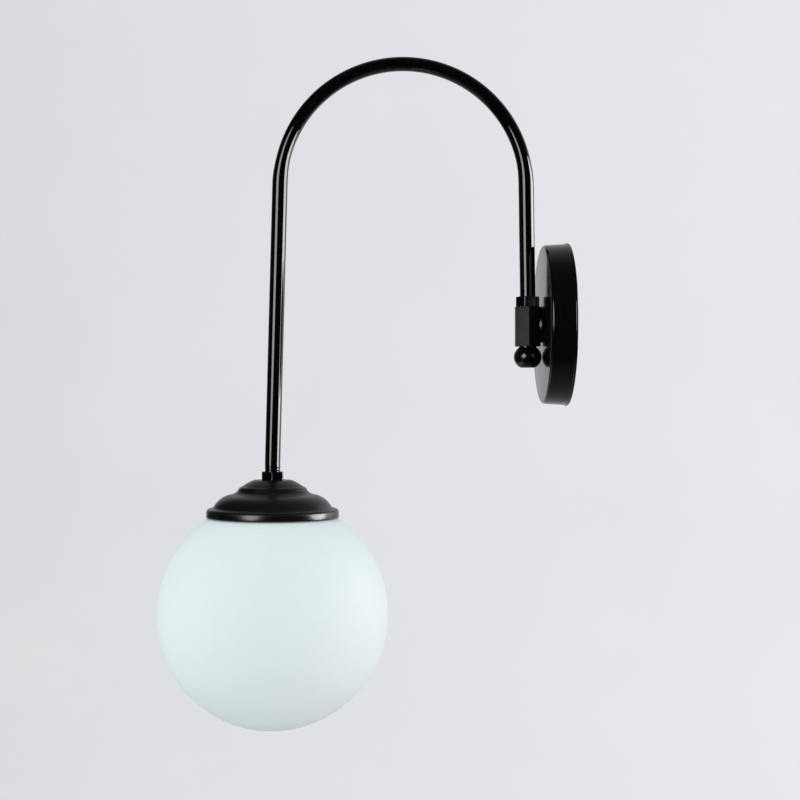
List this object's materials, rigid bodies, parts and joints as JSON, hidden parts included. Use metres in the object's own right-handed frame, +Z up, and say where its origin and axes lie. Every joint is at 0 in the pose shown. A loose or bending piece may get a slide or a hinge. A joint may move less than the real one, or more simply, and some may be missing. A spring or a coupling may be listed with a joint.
{
  "type": "globe wall sconce",
  "caption": "Wall light with a round wall plate, a swivelling gooseneck arm and a closed glass globe under a stepped metal cover.",
  "frame": {"origin": "centre of the mounting bracket's back face, on the wall", "axes": "+Z up, +Y into the wall (the lamp stands out along -Y), +X to the right of a person who faces the wall"},
  "size_m": [0.15, 0.2663, 0.4365],
  "materials": {
    "black_gloss": "gloss",
    "black_satin": "satin",
    "zinc": "satin",
    "brass": "satin",
    "opal_glass": "satin",
    "bulb_glass": "satin",
    "rubber": "matte",
    "holder_plastic": "satin",
    "white_plastic": "satin",
    "steatite": "matte",
    "brown_sheath": "satin",
    "blue_sheath": "satin",
    "green_sheath": "satin"
  },
  "bodies": {
    "base": {"wall_plate": "black_gloss", "wall_bracket": "zinc", "plate_set_screws": "zinc", "mounting_nipple": "zinc", "spacer_ring": "black_gloss", "nipple_washer": "zinc", "nipple_nut": "zinc", "swivel_block": "black_satin", "terminal_block": "white_plastic", "terminal_sleeves": "brass", "terminal_screws": "zinc", "block_screw": "zinc", "earth_tag": "brass", "earth_screw": "brass", "earth_wire": "green_sheath", "live_wire_wall": "brown_sheath", "neutral_wire_wall": "blue_sheath"},
    "arm": {"upper_lock_nut": "black_gloss", "arm_tube": "black_gloss", "lower_lock_nut": "black_gloss", "shade_cover": "black_satin", "cover_washer": "zinc", "cover_nut": "zinc", "gallery_ring": "black_satin", "globe_gasket": "rubber", "holder_cap": "holder_plastic", "holder_sleeve": "holder_plastic", "holder_insert": "steatite", "live_contact": "brass", "neutral_contact": "brass", "holder_terminal_screws": "brass", "screw_shell": "brass", "live_wire_arm": "brown_sheath", "neutral_wire_arm": "blue_sheath"},
    "finial": {"bun_finial": "black_gloss"},
    "globe": {"glass_globe": "opal_glass"},
    "bulb": {"bulb_glass": "bulb_glass", "bulb_collar": "white_plastic", "bulb_cap": "brass", "bulb_insulator": "holder_plastic", "bulb_tip": "brass"}
  },
  "joints": [
    {"name": "arm_swing", "type": "hinge", "parent": "base", "child": "arm", "pos_m": [0, -0.0256, 0], "axis": [0, 0, 1], "range_deg": [-70, 70]},
    {"name": "finial_off", "type": "slide", "parent": "base", "child": "finial", "axis": [0, 0, -1], "range_m": [0, 0.03]},
    {"name": "globe_off", "type": "slide", "parent": "arm", "child": "globe", "axis": [0, 0, -1], "range_m": [0, 0.1]},
    {"name": "bulb_out", "type": "slide", "parent": "arm", "child": "bulb", "axis": [0, 0, -1], "range_m": [0, 0.03]}
  ]
}
